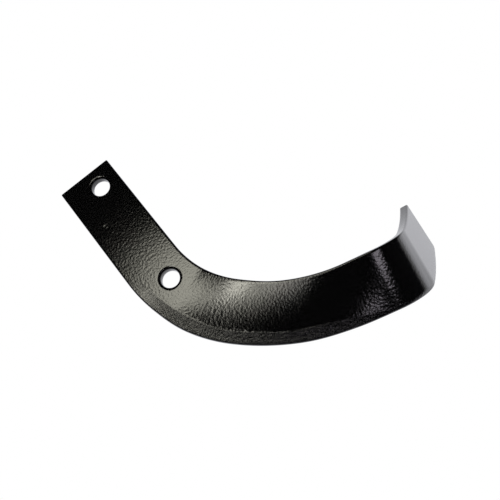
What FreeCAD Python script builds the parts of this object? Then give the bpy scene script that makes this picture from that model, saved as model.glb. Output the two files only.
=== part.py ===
import FreeCAD, Part
import Sketcher
import math
import os

# A rotary tiller blade (bolo pattern), hot-forged from one length of flat bar.
# From its bolted end it runs straight, curves edgewise, twists, and folds over at the tip.
#
# Frame: the shank lies flat with its back face on Z = 0 and runs along +X. The centre of the
# end bolt hole is the origin. The inside of the edgewise curve faces +Y, and the tip folds
# towards -Z. Lengths are millimetres and angles are degrees.

SIZES = [
    # the bar
    ("barWidth", 31.75, "width of the flat bar"),
    ("barThickness", 4.76, "thickness of the flat bar"),
    ("cornerRadius", 0.8, "rounding along the bar's long corners"),
    # the shank and its bolt holes
    ("shankLength", 67.3, "straight length from the cut end to the heel"),
    ("endHoleInset", 11.2, "cut end to the centre of the end bolt hole"),
    ("holeSpacing", 68.0, "along the shank, from one bolt hole to the other"),
    ("endHoleOffset", 3.9, "end bolt hole, off the shank's middle line towards the inside of the curve"),
    ("heelHoleOffset", 3.2, "heel bolt hole, off the same middle line"),
    ("holeDiameter", 10.1, "clearance hole for a 3/8 inch bolt"),
    ("lipRadius", 1.2, "rolled-in lip of each hole on the front face, where the punch went in"),
    # the edgewise curve, measured at the middle of the bar
    ("heelRadius", 72.0, "radius of the first, tighter arc"),
    ("heelTurn", 41.8, "angle of the first arc"),
    ("bladeRadius", 115.0, "radius of the second, wider arc"),
    ("bladeTurn", 31.5, "angle of the second arc"),
    ("leadLength", 14.4, "straight stretch between the curve and the fold"),
    ("tipSweep", 19.8, "edgewise angle that the fold and the tip add together"),
    # the twist
    ("boltSeat", 9.0, "flat length kept past the heel hole for the bolt's head"),
    ("twistTurn", 23.8, "twist of the blade between the bolt seat and the fold"),
    # the fold and the tip
    ("foldRadius", 19.9, "outside radius of the folded tip"),
    ("foldTurn", 77.9, "angle of the folded tip"),
    ("tipLength", 47.9, "flat length beyond the fold"),
    # the forged outer edge
    ("bevelWidth", 7.0, "width of the forged band on the front face"),
    ("bevelDrop", 0.6, "how far the forged band drops at the outer edge"),
    ("bevelFade", 26.0, "length over which the forged band grows from nothing"),
    # how gently one bend passes into the next
    ("curveBlend", 5.6, "length over which an edgewise bend starts or ends"),
    ("foldBlend", 6.8, "length over which the fold or the twist starts or ends"),
]

WALK_STEP = 0.25  # step of the walk along the bar's middle line
STATION_GAP = 6.0  # largest distance between the cross-sections that a stretch is drawn through
SPAN_GROUP = 3  # spans come in threes, because other counts can leave the loft's spline uneven
STRAIGHT = 1e-9  # angles below this are straight
FLATNESS = 1e-5  # a face this close to a plane is flat
RIM_MATCH = 1e-4  # how closely a rim is matched by its radius and height


def fillSheet(document):
    """Write every driving size into the spreadsheet, with its alias and its meaning."""
    sheet = document.addObject("Spreadsheet::Sheet", "Sizes")
    for row, (name, value, meaning) in enumerate(SIZES, start=1):
        sheet.set(f"A{row}", name)
        sheet.set(f"B{row}", str(value))
        sheet.set(f"C{row}", meaning)
        sheet.setAlias(f"B{row}", name)
    document.recompute()
    return sheet


def easeStep(share):
    """Smooth rise from 0 to 1 while share goes from 0 to 1."""
    share = min(max(share, 0.0), 1.0)
    return share * share * (3.0 - 2.0 * share)


def bendShare(position, start, end, blend):
    """1 inside the stretch from start to end, 0 outside it, easing over blend at each end."""
    rise = easeStep((position - start) / blend + 0.5)
    fall = easeStep((position - end) / blend + 0.5)
    return rise - fall


class BarLine:
    """The middle line of the bar's front face: a walk that bends, twists and folds."""

    def __init__(self, sizes):
        self.sizes = sizes
        heelLength = sizes.heelRadius * math.radians(sizes.heelTurn)
        bladeLength = sizes.bladeRadius * math.radians(sizes.bladeTurn)
        foldLength = sizes.foldRadius * math.radians(sizes.foldTurn)
        self.heelStart = sizes.shankLength
        self.bladeStart = self.heelStart + heelLength
        self.leadStart = self.bladeStart + bladeLength
        self.foldStart = self.leadStart + sizes.leadLength
        self.tipStart = self.foldStart + foldLength
        self.tipEnd = self.tipStart + sizes.tipLength
        self.twistStart = sizes.endHoleInset + sizes.holeSpacing + sizes.boltSeat
        self.stations = self.walk()

    def edgewiseCurvature(self, position):
        """Turn per millimetre towards the inside of the curve."""
        sizes = self.sizes
        blend = sizes.curveBlend
        heel = bendShare(position, self.heelStart, self.bladeStart, blend) / sizes.heelRadius
        blade = bendShare(position, self.bladeStart, self.leadStart, blend) / sizes.bladeRadius
        sweepRate = math.radians(sizes.tipSweep) / (self.tipEnd - self.foldStart)
        tip = easeStep((position - self.foldStart) / blend + 0.5) * sweepRate
        return heel + blade + tip

    def foldCurvature(self, position):
        """Turn per millimetre towards the back of the bar."""
        share = bendShare(position, self.foldStart, self.tipStart, self.sizes.foldBlend)
        return share / self.sizes.foldRadius

    def twistRate(self, position):
        """Twist per millimetre about the bar's own line, all of it before the fold."""
        blend = self.sizes.foldBlend
        start = self.twistStart + blend / 2
        end = self.foldStart - blend / 2
        return bendShare(position, start, end, blend) * math.radians(self.sizes.twistTurn) / (end - start)

    def walk(self):
        """Step along the bar and keep the place and the turn reached at every step."""
        sizes = self.sizes
        count = math.ceil(self.tipEnd / WALK_STEP)
        step = self.tipEnd / count
        place = FreeCAD.Vector(-sizes.endHoleInset, -sizes.endHoleOffset, sizes.barThickness)
        turn = FreeCAD.Rotation()
        stations = [(place, turn)]
        for index in range(count):
            middle = (index + 0.5) * step
            spin = FreeCAD.Vector(
                self.twistRate(middle),
                self.foldCurvature(middle),
                self.edgewiseCurvature(middle),
            )
            angle = spin.Length * step
            half = full = FreeCAD.Rotation()
            if angle > STRAIGHT:
                half = FreeCAD.Rotation(spin, math.degrees(angle / 2))
                full = FreeCAD.Rotation(spin, math.degrees(angle))
            ahead = turn.multiply(half).multVec(FreeCAD.Vector(step, 0, 0))
            place = place + ahead
            turn = turn.multiply(full)
            stations.append((place, turn))
        return stations

    def placement(self, position):
        """Where the bar's cross-section stands at this distance from the cut end."""
        steps = len(self.stations) - 1
        exact = min(max(position / self.tipEnd, 0.0), 1.0) * steps
        index = min(int(exact), steps - 1)
        share = exact - index
        (startPlace, startTurn), (endPlace, endTurn) = self.stations[index:index + 2]
        place = startPlace + (endPlace - startPlace) * share
        return FreeCAD.Placement(place, startTurn.slerp(endTurn, share))


def roundedLoop(corners):
    """Closed wire through (point, radius) corners; a radius of 0 leaves the corner as a vertex."""
    count = len(corners)
    arcs = []
    for index, (point, radius) in enumerate(corners):
        before = (corners[index - 1][0] - point).normalize()
        after = (corners[(index + 1) % count][0] - point).normalize()
        if radius == 0:
            arcs.append((point, None, point))
            continue
        halfOpening = before.getAngle(after) / 2
        reach = radius / math.tan(halfOpening)
        inward = (before + after).normalize()
        deep = radius / math.sin(halfOpening) - radius
        arcs.append((point + before * reach, point + inward * deep, point + after * reach))
    edges = []
    for index, (first, middle, last) in enumerate(arcs):
        if middle is not None:
            edges.append(Part.Arc(first, middle, last).toShape())
        following = arcs[(index + 1) % count][0]
        edges.append(Part.makeLine(last, following))
    return Part.Wire(edges)


def barSection(sizes, line, position):
    """Cross-section of the bar: a rounded rectangle whose outer front corner is forged down."""
    half = sizes.barWidth / 2
    grown = easeStep((position - line.heelStart) / sizes.bevelFade)
    drop = sizes.bevelDrop * grown
    corners = [
        (FreeCAD.Vector(0, half, 0), sizes.cornerRadius),
        (FreeCAD.Vector(0, half, -sizes.barThickness), sizes.cornerRadius),
        (FreeCAD.Vector(0, -half, -sizes.barThickness), sizes.cornerRadius),
        (FreeCAD.Vector(0, -half, -drop), sizes.cornerRadius),
        (FreeCAD.Vector(0, sizes.bevelWidth - half, 0), 0),
    ]
    section = roundedLoop(corners)
    section.Placement = line.placement(position)
    return section


def barSpan(sizes, line, start, end):
    """Solid stretch of the bar, drawn smoothly through evenly spaced cross-sections."""
    count = SPAN_GROUP * math.ceil((end - start) / (SPAN_GROUP * STATION_GAP))
    sections = []
    for index in range(count + 1):
        position = start + (end - start) * index / count
        sections.append(barSection(sizes, line, position))
    return Part.makeLoft(sections, True, False)


def withTrueFlats(solid):
    """The same solid, with each face that happens to be flat made a plane."""
    faces = []
    for face in solid.Faces:
        plane = face.findPlane(FLATNESS)
        faces.append(Part.Face(plane, face.OuterWire) if plane else face)
    flattened = Part.Solid(Part.Shell(faces))
    flattened.fixTolerance(FLATNESS)
    return flattened


def forgedBar(sizes):
    """The whole bar before its holes: straight shank, flat heel, then blade, fold and tip."""
    line = BarLine(sizes)
    heelBegin = line.heelStart - sizes.curveBlend / 2
    cutEnd = Part.Face(barSection(sizes, line, 0))
    shank = cutEnd.extrude(FreeCAD.Vector(heelBegin, 0, 0))
    heel = withTrueFlats(barSpan(sizes, line, heelBegin, line.twistStart))
    blade = barSpan(sizes, line, line.twistStart, line.tipEnd)
    bar = shank.fuse([heel, blade]).removeSplitter()
    if len(bar.Solids) != 1:
        raise ValueError("the stretches of the bar do not join into one")
    return bar.Solids[0]


def originPlane(body, role):
    """One of the body's own origin planes, found by its role."""
    for feature in body.Origin.OriginFeatures:
        if feature.Role == role:
            return feature
    raise ValueError(f"no origin plane {role}")


def addHoleSketch(body):
    """Two circles on the back face, one at the origin and one at the heel."""
    sketch = body.newObject("Sketcher::SketchObject", "BoltHoleSketch")
    sketch.AttachmentSupport = [(originPlane(body, "XY_Plane"), "")]
    sketch.MapMode = "FlatFace"
    sizes = body.Document.Sizes
    up = FreeCAD.Vector(0, 0, 1)
    radius = sizes.holeDiameter / 2
    heelCentre = FreeCAD.Vector(sizes.holeSpacing, sizes.heelHoleOffset - sizes.endHoleOffset, 0)
    endCircle = sketch.addGeometry(Part.Circle(FreeCAD.Vector(0, 0, 0), up, radius))
    heelCircle = sketch.addGeometry(Part.Circle(heelCentre, up, radius))
    centre = 3  # Sketcher's number for a circle's centre point
    origin = (-1, 1)  # Sketcher's names for the sketch's origin point
    sketch.addConstraint(Sketcher.Constraint("Coincident", endCircle, centre, *origin))
    bindings = [
        ("Diameter", (endCircle,), "endDiameter", "Sizes.holeDiameter", sizes.holeDiameter),
        ("Diameter", (heelCircle,), "heelDiameter", "Sizes.holeDiameter", sizes.holeDiameter),
        ("DistanceX", (*origin, heelCircle, centre), "spacing", "Sizes.holeSpacing", heelCentre.x),
        ("DistanceY", (heelCircle, centre, *origin), "stagger",
         "Sizes.endHoleOffset - Sizes.heelHoleOffset", -heelCentre.y),
    ]
    for kind, targets, name, expression, value in bindings:
        number = sketch.addConstraint(Sketcher.Constraint(kind, *targets, value))
        sketch.renameConstraint(number, name)
        sketch.setExpression(f"Constraints.{name}", expression)
    return sketch


def rimsAt(shape, radius, height):
    """Names of the circular rims of this radius that lie at this height."""
    names = []
    for number, edge in enumerate(shape.Edges, start=1):
        if not isinstance(edge.Curve, Part.Circle):
            continue
        sameRadius = abs(edge.Curve.Radius - radius) < RIM_MATCH
        sameHeight = abs(edge.Curve.Center.z - height) < RIM_MATCH
        if sameRadius and sameHeight:
            names.append(f"Edge{number}")
    return names


def buildBlade(document):
    """The forged bar, then its bolt holes and their lips."""
    sizes = document.Sizes
    bar = document.addObject("Part::Feature", "ForgedBar")
    bar.Shape = forgedBar(sizes)
    body = document.addObject("PartDesign::Body", "TillerBlade")
    body.Label = "tiller_blade"
    body.BaseFeature = bar
    document.recompute()
    holeSketch = addHoleSketch(body)
    holes = body.newObject("PartDesign::Pocket", "BoltHoles")
    holes.Profile = holeSketch
    holes.Type = "ThroughAll"
    holes.Reversed = True
    document.recompute()
    holeRadius = sizes.holeDiameter / 2
    backRims = rimsAt(holes.Shape, holeRadius, 0)
    frontRims = rimsAt(holes.Shape, holeRadius, sizes.barThickness)
    if not len(backRims) == len(frontRims) == len(holeSketch.Geometry):
        raise ValueError("the bolt holes do not pass through the shank")
    lips = body.newObject("PartDesign::Fillet", "HoleLips")
    lips.Base = (holes, frontRims)
    lips.setExpression("Radius", "Sizes.lipRadius")
    document.recompute()
    return body


def checkDocument(document):
    """Stop if any object failed to compute."""
    for item in document.Objects:
        if "Invalid" in item.State or "Error" in item.State:
            raise ValueError(f"{item.Name} did not compute: {item.State}")


def exportPart(part):
    """Write one finished sub-part to its STEP file, named by its label."""
    shape = part.Shape
    if shape.isNull() or not shape.isValid() or len(shape.Solids) != 1:
        raise ValueError(f"{part.Label} is not one valid solid")
    shape.exportStep(f"parts/{part.Label}.step")
    box = shape.BoundBox
    print(f"{part.Label}: {box.XLength:.1f} x {box.YLength:.1f} x {box.ZLength:.1f} mm,",
          f"{shape.Volume / 1000:.2f} cm3")


document = FreeCAD.newDocument("rotary_tiller_blade")
fillSheet(document)
blade = buildBlade(document)
checkDocument(document)
os.makedirs("parts", exist_ok=True)
exportPart(blade)
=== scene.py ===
import math
import bmesh
import bpy
from mathutils import Euler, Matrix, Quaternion, Vector


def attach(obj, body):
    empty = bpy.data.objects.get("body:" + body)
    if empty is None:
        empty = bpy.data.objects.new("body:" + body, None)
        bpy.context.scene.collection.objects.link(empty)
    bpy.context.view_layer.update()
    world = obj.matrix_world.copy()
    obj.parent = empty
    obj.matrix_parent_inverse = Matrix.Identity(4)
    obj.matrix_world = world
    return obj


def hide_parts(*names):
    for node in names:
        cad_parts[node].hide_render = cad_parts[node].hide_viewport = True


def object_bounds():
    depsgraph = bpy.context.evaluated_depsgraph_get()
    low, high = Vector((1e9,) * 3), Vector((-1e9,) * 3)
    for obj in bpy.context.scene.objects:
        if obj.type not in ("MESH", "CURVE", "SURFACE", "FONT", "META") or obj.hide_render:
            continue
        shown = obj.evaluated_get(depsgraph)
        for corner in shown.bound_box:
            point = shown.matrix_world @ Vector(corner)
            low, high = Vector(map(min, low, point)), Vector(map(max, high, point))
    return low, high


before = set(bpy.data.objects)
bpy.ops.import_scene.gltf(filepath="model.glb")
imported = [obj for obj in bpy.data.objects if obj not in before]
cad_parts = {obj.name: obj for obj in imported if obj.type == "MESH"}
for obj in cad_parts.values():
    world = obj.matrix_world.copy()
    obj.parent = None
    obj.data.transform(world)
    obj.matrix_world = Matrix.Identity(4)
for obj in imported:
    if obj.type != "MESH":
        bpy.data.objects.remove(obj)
cadLow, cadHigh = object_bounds()
print("frame loaded")

mm = 0.001


# a value on a wire between nodes
class Wire:
    def __init__(self, board, socket):
        self.board = board
        self.socket = socket

    def reckon(self, operation, first, second):
        return self.board.add("ShaderNodeMath", {"operation": operation}, {0: first, 1: second})

    def __add__(self, other):
        return self.reckon("ADD", self, other)

    def __radd__(self, other):
        return self.reckon("ADD", other, self)

    def __sub__(self, other):
        return self.reckon("SUBTRACT", self, other)

    def __rsub__(self, other):
        return self.reckon("SUBTRACT", other, self)

    def __mul__(self, other):
        return self.reckon("MULTIPLY", self, other)

    def __rmul__(self, other):
        return self.reckon("MULTIPLY", other, self)

    def __truediv__(self, other):
        return self.reckon("DIVIDE", self, other)

    def __abs__(self):
        return self.reckon("ABSOLUTE", self, None)

    def greater(self, other):
        return self.reckon("MAXIMUM", self, other)


# a tree of nodes
class Board:
    def __init__(self, tree):
        self.tree = tree
        tree.nodes.clear()

    def add(self, kind, settings=None, inputs=None, output=0):
        node = self.tree.nodes.new(kind)
        for name, value in (settings or {}).items():
            setattr(node, name, value)
        for key, value in (inputs or {}).items():
            if isinstance(value, Wire):
                self.tree.links.new(value.socket, node.inputs[key])
            elif value is not None:
                node.inputs[key].default_value = value
        return Wire(self, node.outputs[output]) if len(node.outputs) else node

    def parts(self, vector):
        split = self.add("ShaderNodeSeparateXYZ", None, {0: vector})
        node = split.socket.node
        return [Wire(self, socket) for socket in node.outputs]

    # 0 up to low, 1 from high on, smooth between
    def rise(self, value, low, high):
        ends = {"Value": value, "From Min": low, "From Max": high, "To Min": 0.0, "To Max": 1.0}
        return self.add("ShaderNodeMapRange", {"interpolation_type": "SMOOTHSTEP"}, ends)

    def noise(self, place, size, detail=2.0, rough=0.5, seed=0.0):
        inputs = {"Vector": place, "W": seed, "Scale": 1 / size,
                  "Detail": detail, "Roughness": rough}
        return self.add("ShaderNodeTexNoise", {"noise_dimensions": "4D"}, inputs)

    def vector(self, operation, first, second=None):
        return self.add("ShaderNodeVectorMath", {"operation": operation}, {0: first, 1: second})

    def scaled(self, vector, amount):
        return self.add("ShaderNodeVectorMath", {"operation": "SCALE"},
                        {0: vector, "Scale": amount})

    def cells(self, place, size):
        return self.add("ShaderNodeTexVoronoi", {"feature": "F1"},
                        {"Vector": place, "Scale": 1 / size})

    def named(self, kind, name):
        return self.add("GeometryNodeInputNamedAttribute", {"data_type": kind}, {"Name": name})


# the bar as it was cut, bent and forged, in millimetres and degrees
bar = {
    "width": 31.75,
    "thickness": 4.76,
    "corner": 0.8,
    "endRound": 0.35,
    "endHole": 11.2,
    "holeSpacing": 68.0,
    "endHoleOffset": 3.9,
    "heelHoleOffset": 3.2,
    "holeDiameter": 10.1,
    "lip": 1.5,
    "shank": 67.3,
    "heelRadius": 72.0,
    "heelTurn": 41.8,
    "bladeRadius": 115.0,
    "bladeTurn": 31.5,
    "lead": 14.4,
    "tipSweep": 19.8,
    "boltSeat": 9.0,
    "twistTurn": 23.8,
    "foldRadius": 19.9,
    "foldTurn": 77.9,
    "tip": 47.9,
    "curveBlend": 5.6,
    "foldBlend": 6.8,
    "step": 0.25,
}


def ease(share):
    share = min(max(share, 0.0), 1.0)
    return share * share * (3 - 2 * share)


def bendShare(place, start, end, blend):
    return ease((place - start) / blend + 0.5) - ease((place - end) / blend + 0.5)


# the middle line of the front face: a list of (place, turn) at even steps
def walkLine():
    heelStart = bar["shank"]
    bladeStart = heelStart + bar["heelRadius"] * math.radians(bar["heelTurn"])
    leadStart = bladeStart + bar["bladeRadius"] * math.radians(bar["bladeTurn"])
    foldStart = leadStart + bar["lead"]
    tipStart = foldStart + bar["foldRadius"] * math.radians(bar["foldTurn"])
    tipEnd = tipStart + bar["tip"]
    twistStart = bar["endHole"] + bar["holeSpacing"] + bar["boltSeat"] + bar["foldBlend"] / 2
    twistEnd = foldStart - bar["foldBlend"] / 2
    twistRate = math.radians(bar["twistTurn"]) / (twistEnd - twistStart)
    sweepRate = math.radians(bar["tipSweep"]) / (tipEnd - foldStart)
    count = math.ceil(tipEnd / bar["step"])
    step = tipEnd / count
    place = Vector((-bar["endHole"], -bar["endHoleOffset"], bar["thickness"]))
    turn = Quaternion()
    line = [(place, turn)]
    for index in range(count):
        middle = (index + 0.5) * step
        spin = Vector((
            bendShare(middle, twistStart, twistEnd, bar["foldBlend"]) * twistRate,
            bendShare(middle, foldStart, tipStart, bar["foldBlend"]) / bar["foldRadius"],
            bendShare(middle, heelStart, bladeStart, bar["curveBlend"]) / bar["heelRadius"]
            + bendShare(middle, bladeStart, leadStart, bar["curveBlend"]) / bar["bladeRadius"]
            + ease((middle - foldStart) / bar["curveBlend"] + 0.5) * sweepRate,
        ))
        half = full = Quaternion()
        if spin.length > 0:
            half = Quaternion(spin, spin.length * step / 2)
            full = Quaternion(spin, spin.length * step)
        place = place + (turn @ half) @ Vector((step, 0, 0))
        turn = (turn @ full).normalized()
        line.append((place, turn))
    return line, step, foldStart, tipEnd


line, lineStep, foldStart, tipEnd = walkLine()
print("middle line walked,", len(line), "places")


# how the straight blank is meshed before it is bent, with its two bolt holes
blank = {
    "aimRounds": 12,  # tries at finding where a point of the shank lies on the blank
    "rowGap": 0.5,
    "fineGap": 0.36,  # across the forged band
    "plainGap": 0.66,
    "fineWidth": 9.0,
    "cornerSteps": 4,
    "sideSteps": 5,
    "holePatch": 8.6,  # half the side of the square of rings round a hole
    "ringShares": (0.3, 0.6, 0.82),
    "lipSteps": 5,
    "capInset": 0.75,
    "backRim": 0.15,
    "endMiddle": 0.3,  # middle row of a rounded end, as a share of its radius
}


# where a point of the flat shank lies on the straight blank: along and across
def blankPlace(x, y):
    along = x + bar["endHole"]
    across = y + bar["endHoleOffset"]
    for attempt in range(blank["aimRounds"]):
        place, turn = line[round(along / lineStep)]
        gap = Vector((x, y, bar["thickness"])) - place
        along = round(along / lineStep) * lineStep + gap.dot(turn @ Vector((1, 0, 0)))
        across = gap.dot(turn @ Vector((0, 1, 0)))
    return along, across


# the outline of the cross-section: (across, up, outward across, outward up), front face first
def sectionLoop():
    half, thick, corner = bar["width"] / 2, bar["thickness"], bar["corner"]
    flat = half - corner
    columns = []
    fineEnd = blank["fineWidth"] - half
    fineCount = round((fineEnd + flat) / blank["fineGap"])
    plainCount = round((flat - fineEnd) / blank["plainGap"])
    for index in range(fineCount):
        columns.append(-flat + (fineEnd + flat) * index / fineCount)
    for index in range(plainCount + 1):
        columns.append(fineEnd + (flat - fineEnd) * index / plainCount)

    def cornerArc(across, up, fromAngle, keepLast):
        steps = blank["cornerSteps"]
        for index in range(1, steps + (1 if keepLast else 0)):
            angle = math.radians(fromAngle - 90 * index / steps)
            outAcross, outUp = math.cos(angle), math.sin(angle)
            loop.append((across + corner * outAcross, up + corner * outUp, outAcross, outUp))

    def side(across, fromUp, toUp, outAcross):
        steps = blank["sideSteps"]
        for index in range(1, steps + 1):
            loop.append((across, fromUp + (toUp - fromUp) * index / steps, outAcross, 0.0))

    loop = [(across, 0.0, 0.0, 1.0) for across in columns]
    cornerArc(flat, -corner, 90, True)
    side(half, -corner, corner - thick, 1.0)
    cornerArc(flat, corner - thick, 0, False)
    loop += [(across, -thick, 0.0, -1.0) for across in reversed(columns)]
    cornerArc(-flat, corner - thick, -90, True)
    side(-half, corner - thick, -corner, -1.0)
    cornerArc(-flat, -corner, 180, False)
    return columns, loop


# (along, inset) of every row, with both ends a little rounded
def rowPlaces():
    radius = bar["endRound"]
    middle = radius * blank["endMiddle"]
    ends = [(0.0, radius), (middle, middle), (radius, 0.0)]
    count = round((tipEnd - 2 * radius) / blank["rowGap"])
    inner = [(radius + (tipEnd - 2 * radius) * index / count, 0.0) for index in range(1, count)]
    return ends + inner + [(tipEnd - along, inset) for along, inset in reversed(ends)]


def makeBlank():
    columns, loop = sectionLoop()
    rows = rowPlaces()
    loopSize, columnCount = len(loop), len(columns)
    backStart = columnCount + 2 * blank["cornerSteps"] - 1 + blank["sideSteps"]
    shape = bmesh.new()
    frontShare = shape.verts.layers.float.new("frontShare")
    blankCoord = shape.verts.layers.float_vector.new("blankPlace")

    def point(along, across, up, share):
        spot = Vector((along, across, up)) * mm
        vertex = shape.verts.new(spot)
        vertex[frontShare] = share
        vertex[blankCoord] = spot
        return vertex

    grid = []
    for along, inset in rows:
        ring = []
        for across, up, outAcross, outUp in loop:
            share = max(0.0, outUp)
            ring.append(point(along, across - inset * outAcross, up - inset * outUp, share))
        grid.append(ring)

    # patches of rings round each hole, in rows and columns of the grid
    patches = []
    heelHole = (bar["holeSpacing"], bar["heelHoleOffset"] - bar["endHoleOffset"])
    for x, y in ((0.0, 0.0), heelHole):
        along, across = blankPlace(x, y)
        reach = blank["holePatch"]
        inRows = [index for index, row in enumerate(rows) if abs(row[0] - along) < reach]
        inColumns = [index for index, column in enumerate(columns) if abs(column - across) < reach]
        patches.append((x, y, along, across, inRows[0], inRows[-1], inColumns[0], inColumns[-1]))

    def inPatch(row, column):
        return any(rowA <= row < rowB and columnA <= column < columnB
                   for *_, rowA, rowB, columnA, columnB in patches)

    for row in range(len(rows) - 1):
        for index in range(loopSize):
            follow = (index + 1) % loopSize
            column = index if index < columnCount - 1 else None
            if backStart <= index < backStart + columnCount - 1:
                column = columnCount - 2 - (index - backStart)
            if column is not None and inPatch(row, column):
                continue
            here, there = grid[row], grid[row + 1]
            shape.faces.new((here[index], here[follow], there[follow], there[index]))

    def backIndex(column):
        return backStart + columnCount - 1 - column

    def patchEdge(rowA, rowB, columnA, columnB, place):
        spots = [(rowA, column) for column in range(columnA, columnB)]
        spots += [(row, columnB) for row in range(rowA, rowB)]
        spots += [(rowB, column) for column in range(columnB, columnA, -1)]
        spots += [(row, columnA) for row in range(rowB, rowA, -1)]
        return [grid[row][place(column)] for row, column in spots]

    def joinRings(ringA, ringB):
        size = len(ringA)
        for index in range(size):
            follow = (index + 1) % size
            shape.faces.new((ringA[index], ringA[follow], ringB[follow], ringB[index]))

    radius, lip = bar["holeDiameter"] / 2, bar["lip"]
    thick, rim = bar["thickness"], blank["backRim"]
    for x, y, holeAlong, holeAcross, rowA, rowB, columnA, columnB in patches:
        frontEdge = patchEdge(rowA, rowB, columnA, columnB, lambda column: column)
        backEdge = patchEdge(rowA, rowB, columnA, columnB, backIndex)
        centre = Vector((holeAlong, holeAcross)) * mm
        angles = [math.atan2(v.co.y - centre.y, v.co.x - centre.x) for v in frontEdge]

        def circle(size, up, share):
            ring = []
            for angle in angles:
                turned = angle + line[round(holeAlong / lineStep)][1].to_euler().z
                along, across = blankPlace(x + size * math.cos(turned), y + size * math.sin(turned))
                ring.append(point(along, across, up, share))
            return ring

        def between(edge, ring, share):
            middle = []
            for start, end in zip(edge, ring):
                spot = start.co.lerp(end.co, share) / mm
                middle.append(point(*spot, start[frontShare]))
            return middle

        lipRings = []
        for index in range(blank["lipSteps"] + 1):
            angle = math.pi / 2 * index / blank["lipSteps"]
            size = radius + lip * (1 - math.sin(angle))
            lipRings.append(circle(size, lip * (math.cos(angle) - 1), math.cos(angle)))
        thirds = ((2 * -lip - thick) / 3, (-lip - 2 * thick) / 3)  # of the way down the wall
        wallRings = [circle(radius, up, 0.0) for up in thirds]
        rimRings = [circle(radius, rim - thick, 0.0), circle(radius + rim, -thick, 0.0)]
        front = [between(frontEdge, lipRings[0], share) for share in blank["ringShares"]]
        back = [between(backEdge, rimRings[-1], share) for share in reversed(blank["ringShares"])]
        rings = [frontEdge] + front + lipRings + wallRings + rimRings + back + [backEdge]
        for ringA, ringB in zip(rings, rings[1:]):
            joinRings(ringA, ringB)

    # flat ends
    for row in (0, -1):
        along = rows[row][0]
        inset = blank["capInset"]
        cap = [point(along, across - inset * outAcross, up - inset * outUp, 0.0)
               for across, up, outAcross, outUp in loop]
        joinRings(grid[row], cap)
        shape.faces.new(cap)

    bmesh.ops.recalc_face_normals(shape, faces=shape.faces)
    mesh = bpy.data.meshes.new("barBlank")
    shape.to_mesh(mesh)
    shape.free()
    return mesh


blankMesh = makeBlank()
print("blank made,", len(blankMesh.polygons), "faces")


# the line that the forge tree bends the blank along
def makeGuide():
    mesh = bpy.data.meshes.new("bendLine")
    places = [place * mm for place, turn in line]
    mesh.from_pydata(places, [(index, index + 1) for index in range(len(places) - 1)], [])
    normals = mesh.attributes.new("faceNormal", "FLOAT_VECTOR", "POINT")
    for index, (place, turn) in enumerate(line):
        normals.data[index].vector = turn @ Vector((0, 0, 1))
    return bpy.data.objects.new("bendLine", mesh)


guide = makeGuide()
bpy.context.collection.objects.link(guide)

# the forge bends the blank along the line and hammers its outer edge
forge = {
    "Band width": 7.0 * mm,
    "Band drop": 0.6 * mm,
    "Band fade": 26.0 * mm,  # length over which the band grows from nothing
    "Band wander": 0.16,  # how far the band's inner line strays, as a share of its width
    "Step depth": 0.12 * mm,
    "Grain depth": 0.26 * mm,
    "Wave depth": 0.02 * mm,
    "Flap band": 0.35,  # width of the band on the folded tip, as a share of its width on the blade
    "Inset": 0.03 * mm,  # the face sits back by this, so that the blade stays inside its solid
    "Seed": 4.0,
}
forgeMarks = {
    "wanderSize": 13 * mm,
    "grainSize": 1.5 * mm,
    "grainEdge": (-1.2 * mm, 0.2 * mm),  # where the grain ends, from the band's inner line
    "grainMix": (0.7, 0.5),  # shares of the grain and of the pits
    "pitSize": 2.1 * mm,
    "pitRim": (0.05, 0.32),
    "waveSize": 24 * mm,
    "waveGrows": (10 * mm, 100 * mm),
    "shankWave": 0.25,  # the waves on the shank, as a share of those on the blade
    "rimStrip": 1.5 * mm,  # smooth strip left at the very edge
    "stepWidth": 0.7 * mm,
    "stepStart": 108 * mm,
    "stepEnd": 158 * mm,
    "stepFade": 20 * mm,
    "patchSize": 5 * mm,  # the step line comes and goes in patches of this size
    "patchRise": (0.38, 0.55),
    "bandThins": 165 * mm,  # from here to the fold the band narrows
    # where the hammer spread or drew in an edge: (side, start, peak, end, how far out)
    "spreads": [
        (1, 58 * mm, 118 * mm, 146 * mm, 0.60 * mm),
        (-1, 84 * mm, 100 * mm, 152 * mm, 0.58 * mm),
        (-1, 152 * mm, 172 * mm, 192 * mm, -0.38 * mm),
    ],
    "spreadReach": 9 * mm,
    "dent": (33.2 * mm, -6.8 * mm, 1.0 * mm, 0.07 * mm),  # along, across, radius, depth
    "dentSoft": 0.6,  # width of the dent's rim, as a share of its radius
}


# at a point of the blank: its place, its distance from the outer edge, the band's width and growth
def bandShape(board, place, bandWidth, bandFade, wander, seed):
    along, across, up = board.parts(place)
    edge = across + bar["width"] / 2 * mm
    stray = board.noise(place, forgeMarks["wanderSize"], detail=3.0, rough=0.6, seed=seed)
    width = bandWidth * (1 + wander * 2 * (stray - 0.5))
    thin = board.rise(along, forgeMarks["bandThins"], foldStart * mm)
    width = width * (1 - (1 - forge["Flap band"]) * thin)
    heelStart = bar["shank"] * mm
    grown = board.rise(along, heelStart, heelStart + bandFade)
    return along, across, up, edge, width, grown


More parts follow.
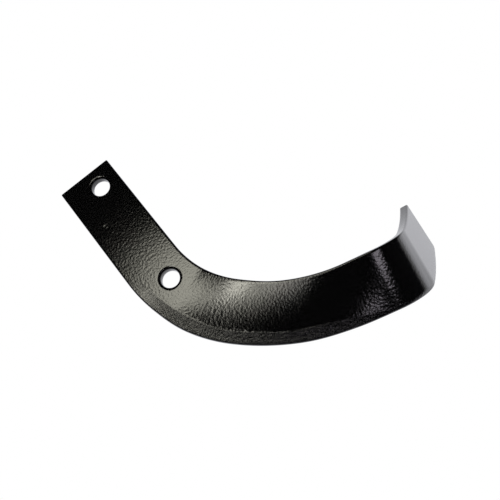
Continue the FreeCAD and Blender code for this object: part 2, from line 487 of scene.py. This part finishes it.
def makeForgeTree():
    tree = bpy.data.node_groups.new("forge", "GeometryNodeTree")
    board = Board(tree)
    tree.interface.new_socket("Geometry", in_out="OUTPUT", socket_type="NodeSocketGeometry")
    tree.interface.new_socket("Geometry", in_out="INPUT", socket_type="NodeSocketGeometry")
    tree.interface.new_socket("Bend line", in_out="INPUT", socket_type="NodeSocketObject")
    tree.interface.new_socket("Paint", in_out="INPUT", socket_type="NodeSocketMaterial")
    for name, value in forge.items():
        socket = tree.interface.new_socket(name, in_out="INPUT", socket_type="NodeSocketFloat")
        socket.default_value = value
    start = board.add("NodeGroupInput").socket.node
    given = {socket.name: Wire(board, socket) for socket in start.outputs if socket.name}

    place = board.add("GeometryNodeInputPosition")
    frontShare = board.named("FLOAT", "frontShare")
    along, across, up, edge, width, grown = bandShape(
        board, place, given["Band width"], given["Band fade"], given["Band wander"], given["Seed"])

    # the band slopes down to the outer edge and takes the side with it
    slope = (1 - edge / width).greater(0.0)
    depthShare = 1 + up / (bar["thickness"] * mm)
    drop = given["Band drop"] * grown * slope * depthShare

    # marks on the front face only: hammered grain with pits, a step line, broad waves and a dent
    marks, seed = forgeMarks, given["Seed"]
    inBand = (1 - board.rise(edge - width, *marks["grainEdge"])) * grown
    inGrain = inBand * board.rise(edge, marks["rimStrip"], 2 * marks["rimStrip"])
    grain = board.noise(place, marks["grainSize"], detail=3.0, rough=0.6, seed=seed)
    pits = 1 - board.rise(board.cells(place, marks["pitSize"]), *marks["pitRim"])
    grainPart, pitPart = marks["grainMix"]
    hammered = given["Grain depth"] * inGrain * (grainPart * grain + pitPart * pits)
    stepLine = 1 - board.rise(abs(edge - width), 0.0, marks["stepWidth"])
    patchy = board.rise(board.noise(place, marks["patchSize"], seed=seed), *marks["patchRise"])
    stepShare = board.rise(along, marks["stepStart"], marks["stepStart"] + marks["stepFade"])
    stepGone = board.rise(along, marks["stepEnd"], marks["stepEnd"] + marks["stepFade"])
    step = given["Step depth"] * stepLine * patchy * (stepShare * (1 - stepGone))
    wave = given["Wave depth"] * board.noise(place, marks["waveSize"], detail=1.0, seed=seed)
    dentAlong, dentAcross, dentRadius, dentDepth = marks["dent"]
    aside = board.add("ShaderNodeCombineXYZ", None,
                      {"X": along - dentAlong, "Y": across - dentAcross})
    far = board.add("ShaderNodeVectorMath", {"operation": "LENGTH"}, {0: aside}, "Value")
    dent = dentDepth * (1 - board.rise(abs(far - dentRadius), 0.0, marks["dentSoft"] * dentRadius))
    waveShare = board.rise(along, *marks["waveGrows"])
    waveShare = marks["shankWave"] + (1 - marks["shankWave"]) * waveShare
    relief = frontShare * (hammered + step + dent + wave * waveShare)
    height = up - drop - relief - given["Inset"] * frontShare

    # where the bar was hammered its edges stand a little further out or in
    half = bar["width"] / 2 * mm
    wide = across
    for side, begin, peak, end, reachOut in marks["spreads"]:
        hump = board.rise(along, begin, peak) - board.rise(along, peak, end)
        nearEdge = board.rise(across * side, half - marks["spreadReach"], half)
        wide = wide + side * reachOut * hump * nearEdge

    # carry every point onto the bend line
    lineInfo = board.add("GeometryNodeObjectInfo", None, {"Object": given["Bend line"]}, "Geometry")
    curve = board.add("GeometryNodeMeshToCurve", None, {"Mesh": lineInfo})
    normalHere = board.named("FLOAT_VECTOR", "faceNormal")
    sample = board.add("GeometryNodeSampleCurve", {"data_type": "FLOAT_VECTOR", "mode": "LENGTH"},
                       {"Curves": curve, "Value": normalHere, "Length": along})
    sampled = sample.socket.node.outputs
    upward = board.vector("NORMALIZE", Wire(board, sampled["Value"]))
    tangent = Wire(board, sampled["Tangent"])
    sideways = board.vector("NORMALIZE", board.vector("CROSS_PRODUCT", upward, tangent))
    spot = board.vector("ADD", Wire(board, sampled["Position"]), board.scaled(sideways, wide))
    spot = board.vector("ADD", spot, board.scaled(upward, height))
    bent = board.add("GeometryNodeSetPosition", None,
                     {"Geometry": given["Geometry"], "Position": spot})
    whole = board.add("GeometryNodeRealizeInstances", None, {"Geometry": bent})
    painted = board.add("GeometryNodeSetMaterial", None,
                        {"Geometry": whole, "Material": given["Paint"]})
    board.add("NodeGroupOutput", None, {"Geometry": painted})
    return tree


paint = {
    "colour": (0.0075, 0.0075, 0.0085, 1.0),
    "dust": (0.030, 0.027, 0.024, 1.0),
    "roughness": 0.085,
    "roughnessPlay": 0.05,
    "bandRoughness": 0.14,
    "peelSize": 1.25 * mm,
    "peelDepth": 0.062 * mm,
    "speckSize": 1.2 * mm,
    "speckDepth": 0.30 * mm,
    "playSize": 7 * mm,
    "bandEdge": (-1.0 * mm, 0.3 * mm),
    "faceShare": (0.6, 1.0),
    "dustRise": (0.56, 0.72),
    "dustAmount": 0.6,
}


def makePaint():
    material = bpy.data.materials.new("blackPaint")
    material.use_nodes = True
    board = Board(material.node_tree)
    place = board.add("ShaderNodeAttribute", {"attribute_name": "blankPlace"}, None, "Vector")
    frontShare = board.add("ShaderNodeAttribute", {"attribute_name": "frontShare"}, None, "Fac")
    *_, edge, width, grown = bandShape(
        board, place, forge["Band width"], forge["Band fade"], forge["Band wander"], forge["Seed"])
    onFace = board.rise(frontShare, *paint["faceShare"])
    inBand = (1 - board.rise(edge - width, *paint["bandEdge"])) * grown * onFace
    peel = board.noise(place, paint["peelSize"])
    speck = board.noise(place, paint["speckSize"], detail=3.0, rough=0.65)
    play = board.noise(place, paint["playSize"], detail=3.0, rough=0.6)
    fine = board.add("ShaderNodeBump", None,
                     {"Strength": 1.0, "Distance": paint["peelDepth"], "Height": peel})
    rough = board.add("ShaderNodeBump", None, {
        "Strength": 1.0, "Distance": paint["speckDepth"], "Height": speck * inBand, "Normal": fine})
    roughness = paint["roughness"] + paint["roughnessPlay"] * (play - 0.5)
    roughness = roughness + paint["bandRoughness"] * inBand
    dusty = board.rise(speck, *paint["dustRise"]) * inBand * paint["dustAmount"]
    colour = board.add("ShaderNodeMix", {"data_type": "RGBA"},
                       {0: dusty, 6: paint["colour"], 7: paint["dust"]}, 2)
    shader = board.add("ShaderNodeBsdfPrincipled", None,
                       {"Base Color": colour, "Roughness": roughness, "Normal": rough})
    board.add("ShaderNodeOutputMaterial", None, {"Surface": shader})
    return material


blackPaint = makePaint()


# a modifier input is named by its socket's identifier
def setInputs(modifier, values):
    for item in modifier.node_group.interface.items_tree:
        if item.in_out == "INPUT" and item.name in values:
            modifier[item.identifier] = values[item.name]


def forgeBlade():
    blade = bpy.data.objects.new("forgedBlade", blankMesh)
    bpy.context.collection.objects.link(blade)
    modifier = blade.modifiers.new("forge", "NODES")
    modifier.node_group = makeForgeTree()
    setInputs(modifier, {**forge, "Bend line": guide, "Paint": blackPaint})
    graph = bpy.context.evaluated_depsgraph_get()
    forged = bpy.data.meshes.new_from_object(
        blade.evaluated_get(graph), preserve_all_data_layers=True, depsgraph=graph)
    blade.modifiers.remove(modifier)
    blade.data = forged
    for face in forged.polygons:
        face.use_smooth = True
    return blade


blade = forgeBlade()
bpy.data.objects.remove(guide)
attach(blade, "root")
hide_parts("tiller_blade")
print("blade forged,", len(blade.data.vertices), "points")


# a card of soft lights overhead, a pale floor with a painted shadow of the blade and a painted pool
# of light, and a dark room
studio = {
    "cardHeight": 0.80,
    "cardSize": 0.85,
    # centre, half length and half width, turn, softness, brightness, lean along the length, colour
    "softLights": [
        ((-0.228, -0.016), (0.082, 0.077), -6, 0.090, 7.6, 0.10, (1.0, 0.98, 0.84)),
        ((-0.062, -0.214), (0.150, 0.048), -26, 0.084, 5.3, -0.90, (1.0, 0.98, 0.86)),
        ((-0.205, -0.205), (0.080, 0.050), 0, 0.050, 7.0, 0.0, (1.0, 0.98, 0.86)),
        ((0.030, -0.290), (0.110, 0.040), -6, 0.050, 4.2, 0.0, (1.0, 0.98, 0.90)),
        ((0.490, 0.022), (0.034, 0.155), 0, 0.040, 5.5, 0.0, (0.97, 0.90, 1.0)),
    ],
    # the floor's glow as the paint sees it: painted shadow near the blade, a painted pool of light
    # beyond the tip, dimmer far off
    "floorNear": 1.15,
    "floorFar": 2.8,
    "floorEnd": 1.5,
    "horizon": 1.3,
    "floorTint": (0.95, 0.955, 1.0),
    "floorSize": 4.0,
    "floorGap": 0.2 * mm,
    "floorGrows": (0.0, 0.12),  # metres beyond the blade
    "floorFades": (0.2, 1.0),
    "sideRise": (0.0, 0.15),
    "roomFacing": (0.2, 0.8),
    "roomRise": (-0.02, 0.2),
}


def softLight(board, across, along, light):
    (centreX, centreY), (halfLength, halfWidth), turn, soft, brightness, lean = light
    cosine, sine = math.cos(math.radians(turn)), math.sin(math.radians(turn))
    forward = (across - centreX) * cosine + (along - centreY) * sine
    sideways = (along - centreY) * cosine - (across - centreX) * sine
    ends = board.rise(halfLength - abs(forward), -soft / 2, soft / 2)
    sides = board.rise(halfWidth - abs(sideways), -soft / 2, soft / 2)
    return (brightness + brightness * lean / halfLength * forward).greater(0.0) * ends * sides


def makePlane(name, size, height, material):
    half = size / 2
    corners = [(x * half, y * half, height) for x, y in ((-1, -1), (1, -1), (1, 1), (-1, 1))]
    mesh = bpy.data.meshes.new(name)
    mesh.from_pydata(corners, [], [(0, 1, 2, 3)])
    mesh.materials.append(material)
    plane = bpy.data.objects.new(name, mesh)
    bpy.context.collection.objects.link(plane)
    return plane


def makeCardGlow():
    material = bpy.data.materials.new("softLights")
    material.use_nodes = True
    board = Board(material.node_tree)
    place = board.add("ShaderNodeTexCoord", None, None, "Object")
    across, along = board.parts(place)[:2]
    glow = None
    for *light, tint in studio["softLights"]:
        share = softLight(board, across, along, light)
        colour = board.scaled(tint, share)
        glow = board.vector("ADD", glow, colour) if glow else colour
    emission = board.add("ShaderNodeEmission", None, {"Color": glow, "Strength": 1.0})
    board.add("ShaderNodeOutputMaterial", None, {"Surface": emission})
    return material


# white to the camera; to the paint it glows, dim under the blade with a painted shadow and
# brightest a little beyond the tip with a painted pool of light
def makeFloorGlow(edge):
    material = bpy.data.materials.new("paleFloor")
    material.use_nodes = True
    board = Board(material.node_tree)
    place = board.add("ShaderNodeTexCoord", None, None, "Object")
    across, along = board.parts(place)[:2]
    # painted shadow and light: the glow stays low under and near the blade and rises beyond its far
    # edge
    beyond = along - edge
    grow = (studio["floorFar"] - studio["floorNear"]) * board.rise(beyond, *studio["floorGrows"])
    fade = (studio["floorFar"] - studio["floorEnd"]) * board.rise(beyond, *studio["floorFades"])
    glow = studio["floorNear"] + (grow - fade) * board.rise(across, *studio["sideRise"])
    seen = board.add("ShaderNodeLightPath", None, None, "Is Camera Ray")
    strength = glow * (1 - seen) + seen
    tint = board.add("ShaderNodeMix", {"data_type": "RGBA"},
                     {0: seen, 6: (*studio["floorTint"], 1.0), 7: (1.0, 1.0, 1.0, 1.0)}, 2)
    emission = board.add("ShaderNodeEmission", None, {"Color": tint, "Strength": strength})
    board.add("ShaderNodeOutputMaterial", None, {"Surface": emission})
    return material


# white to the camera; to the paint a dark room with a faint bright rim beyond the tip
def makeRoom():
    world = bpy.data.worlds.new("room")
    bpy.context.scene.world = world
    world.use_nodes = True
    board = Board(world.node_tree)
    direction = board.add("ShaderNodeTexCoord", None, None, "Generated")
    across, along, up = board.parts(direction)
    facing = board.rise(along, *studio["roomFacing"]) * board.rise(across, *studio["sideRise"])
    glow = studio["horizon"] * facing * (1 - board.rise(up, *studio["roomRise"]))
    seen = board.add("ShaderNodeLightPath", None, None, "Is Camera Ray")
    strength = glow * (1 - seen) + seen
    background = board.add("ShaderNodeBackground", None,
                           {"Color": (1.0, 1.0, 1.0, 1.0), "Strength": strength})
    board.add("ShaderNodeOutputWorld", None, {"Surface": background})


card = makePlane("lightCard", 2 * studio["cardSize"], studio["cardHeight"], makeCardGlow())
card.visible_camera = False
makePlane("paleFloor", studio["floorSize"], cadLow.z - studio["floorGap"], makeFloorGlow(cadHigh.y))
makeRoom()
print("studio lit")


view = {
    "place": (0.21098, 0.01629, 0.35031),
    "turn": (18.142, 9.756, 51.944),
    "lens": 51.84,
    "sensor": 36.0,
    "nearest": 0.01,
}

lens = bpy.data.cameras.new("viewCamera")
lens.lens = view["lens"]
lens.sensor_width = view["sensor"]
lens.clip_start = view["nearest"]
camera = bpy.data.objects.new("viewCamera", lens)
bpy.context.collection.objects.link(camera)
camera.location = view["place"]
camera.rotation_euler = Euler([math.radians(angle) for angle in view["turn"]])
bpy.context.scene.camera = camera
bpy.context.scene.view_settings.view_transform = "Standard"
